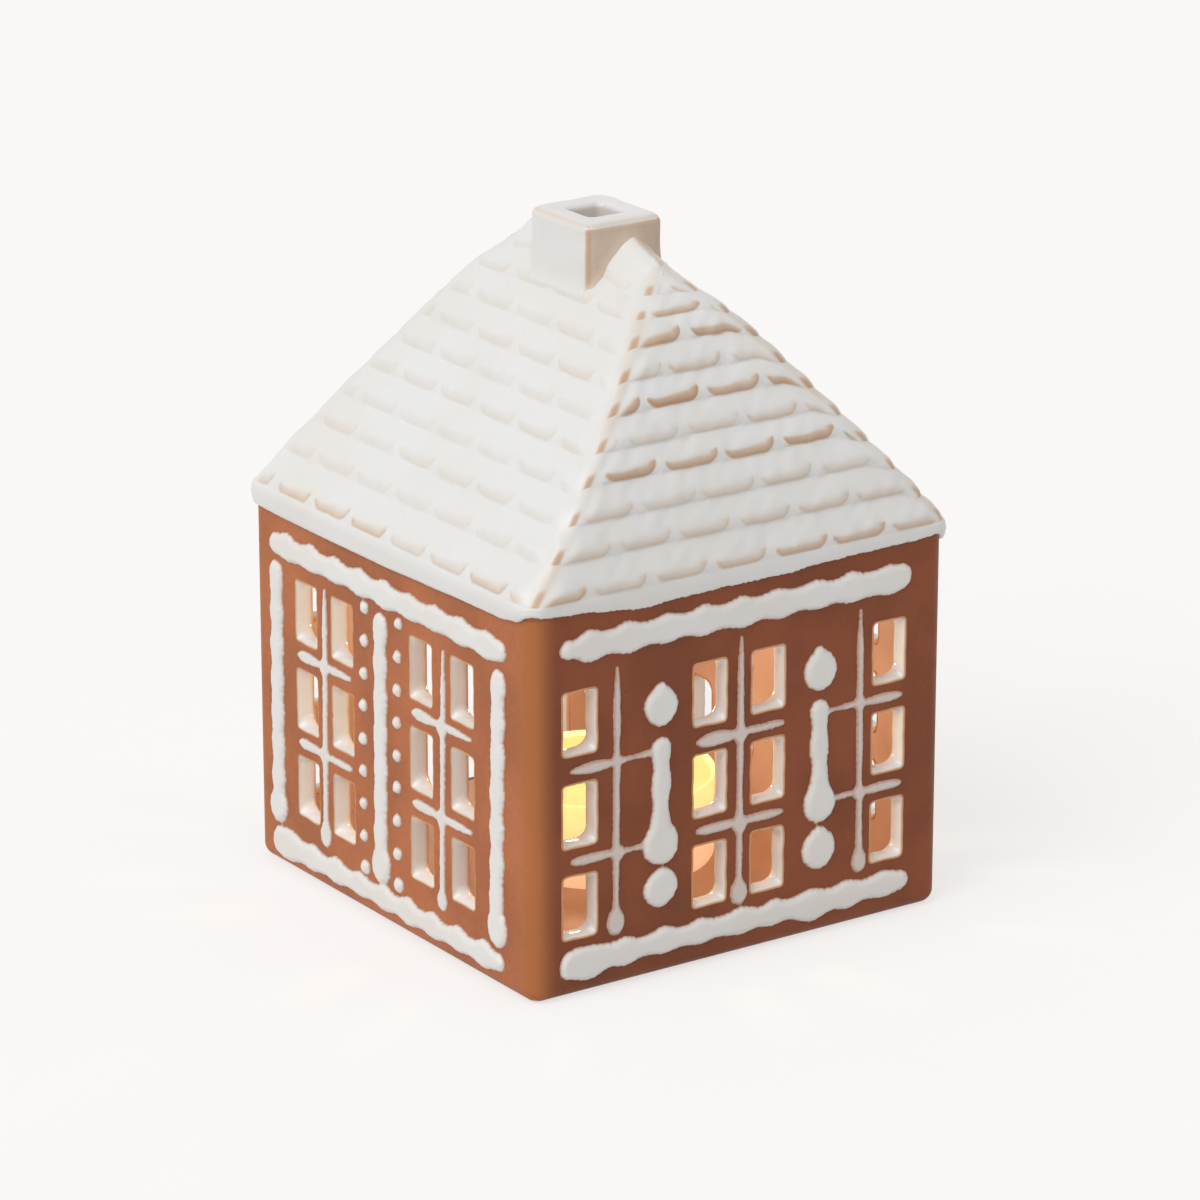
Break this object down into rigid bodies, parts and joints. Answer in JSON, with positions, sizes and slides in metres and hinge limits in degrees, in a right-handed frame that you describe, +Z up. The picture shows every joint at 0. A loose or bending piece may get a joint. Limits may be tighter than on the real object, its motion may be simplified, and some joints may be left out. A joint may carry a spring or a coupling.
{
  "type": "tealight house",
  "caption": "Small stoneware house with a tiled hip roof, an open chimney, pierced windows, white piped decoration and an arched back doorway for a tealight.",
  "frame": {"origin": "middle of the resting face, on the table", "axes": "+Z up, the front wall faces -Y and the doorway wall faces +Y, +X to the right as seen from the front"},
  "size_m": [0.0846, 0.0869, 0.1175],
  "materials": {
    "stoneware": "unglazed fired brown stoneware, matt, finely grained",
    "white_glaze": "thick glossy white glaze that breaks to brown over edges",
    "piped_glaze": "trailed white glaze, raised, round and glossy",
    "thin_piped_glaze": "thin trailed white glaze that the brown clay shows through",
    "clear_cup": "thin clear heat-resistant plastic",
    "wax": "soft white wax, lit through by the flame",
    "wick": "waxed cotton, charred at the tip",
    "wick_metal": "thin pressed sheet"
  },
  "bodies": {
    "house": {"front_wall": "stoneware", "right_wall": "stoneware", "back_wall": "stoneware", "left_wall": "stoneware", "floor": "stoneware", "roof": "stoneware", "chimney": "stoneware", "back_window_glaze": "white_glaze", "chimney_glaze": "white_glaze", "door_glaze": "white_glaze", "front_window_glaze": "white_glaze", "left_window_glaze": "white_glaze", "right_window_glaze": "white_glaze", "roof_glaze": "white_glaze", "back_bottom_border": "piped_glaze", "back_glazing_bars": "thin_piped_glaze", "back_top_border": "piped_glaze", "front_bottom_border": "piped_glaze", "front_glazing_bars": "thin_piped_glaze", "front_posts": "piped_glaze", "front_top_border": "piped_glaze", "left_bottom_border": "piped_glaze", "left_dots": "piped_glaze", "left_glazing_bars": "thin_piped_glaze", "left_top_border": "piped_glaze", "left_uprights": "piped_glaze", "right_bottom_border": "piped_glaze", "right_dots": "piped_glaze", "right_glazing_bars": "thin_piped_glaze", "right_top_border": "piped_glaze", "right_uprights": "piped_glaze"},
    "tealight": {"tealight_cup": "clear_cup", "wax": "wax", "wick": "wick", "wick_foot": "wick_metal"}
  },
  "joints": [
    {"name": "tealight_slide", "type": "slide", "parent": "house", "child": "tealight", "axis": [0, 1, 0], "range_m": [0, 0.066]}
  ]
}
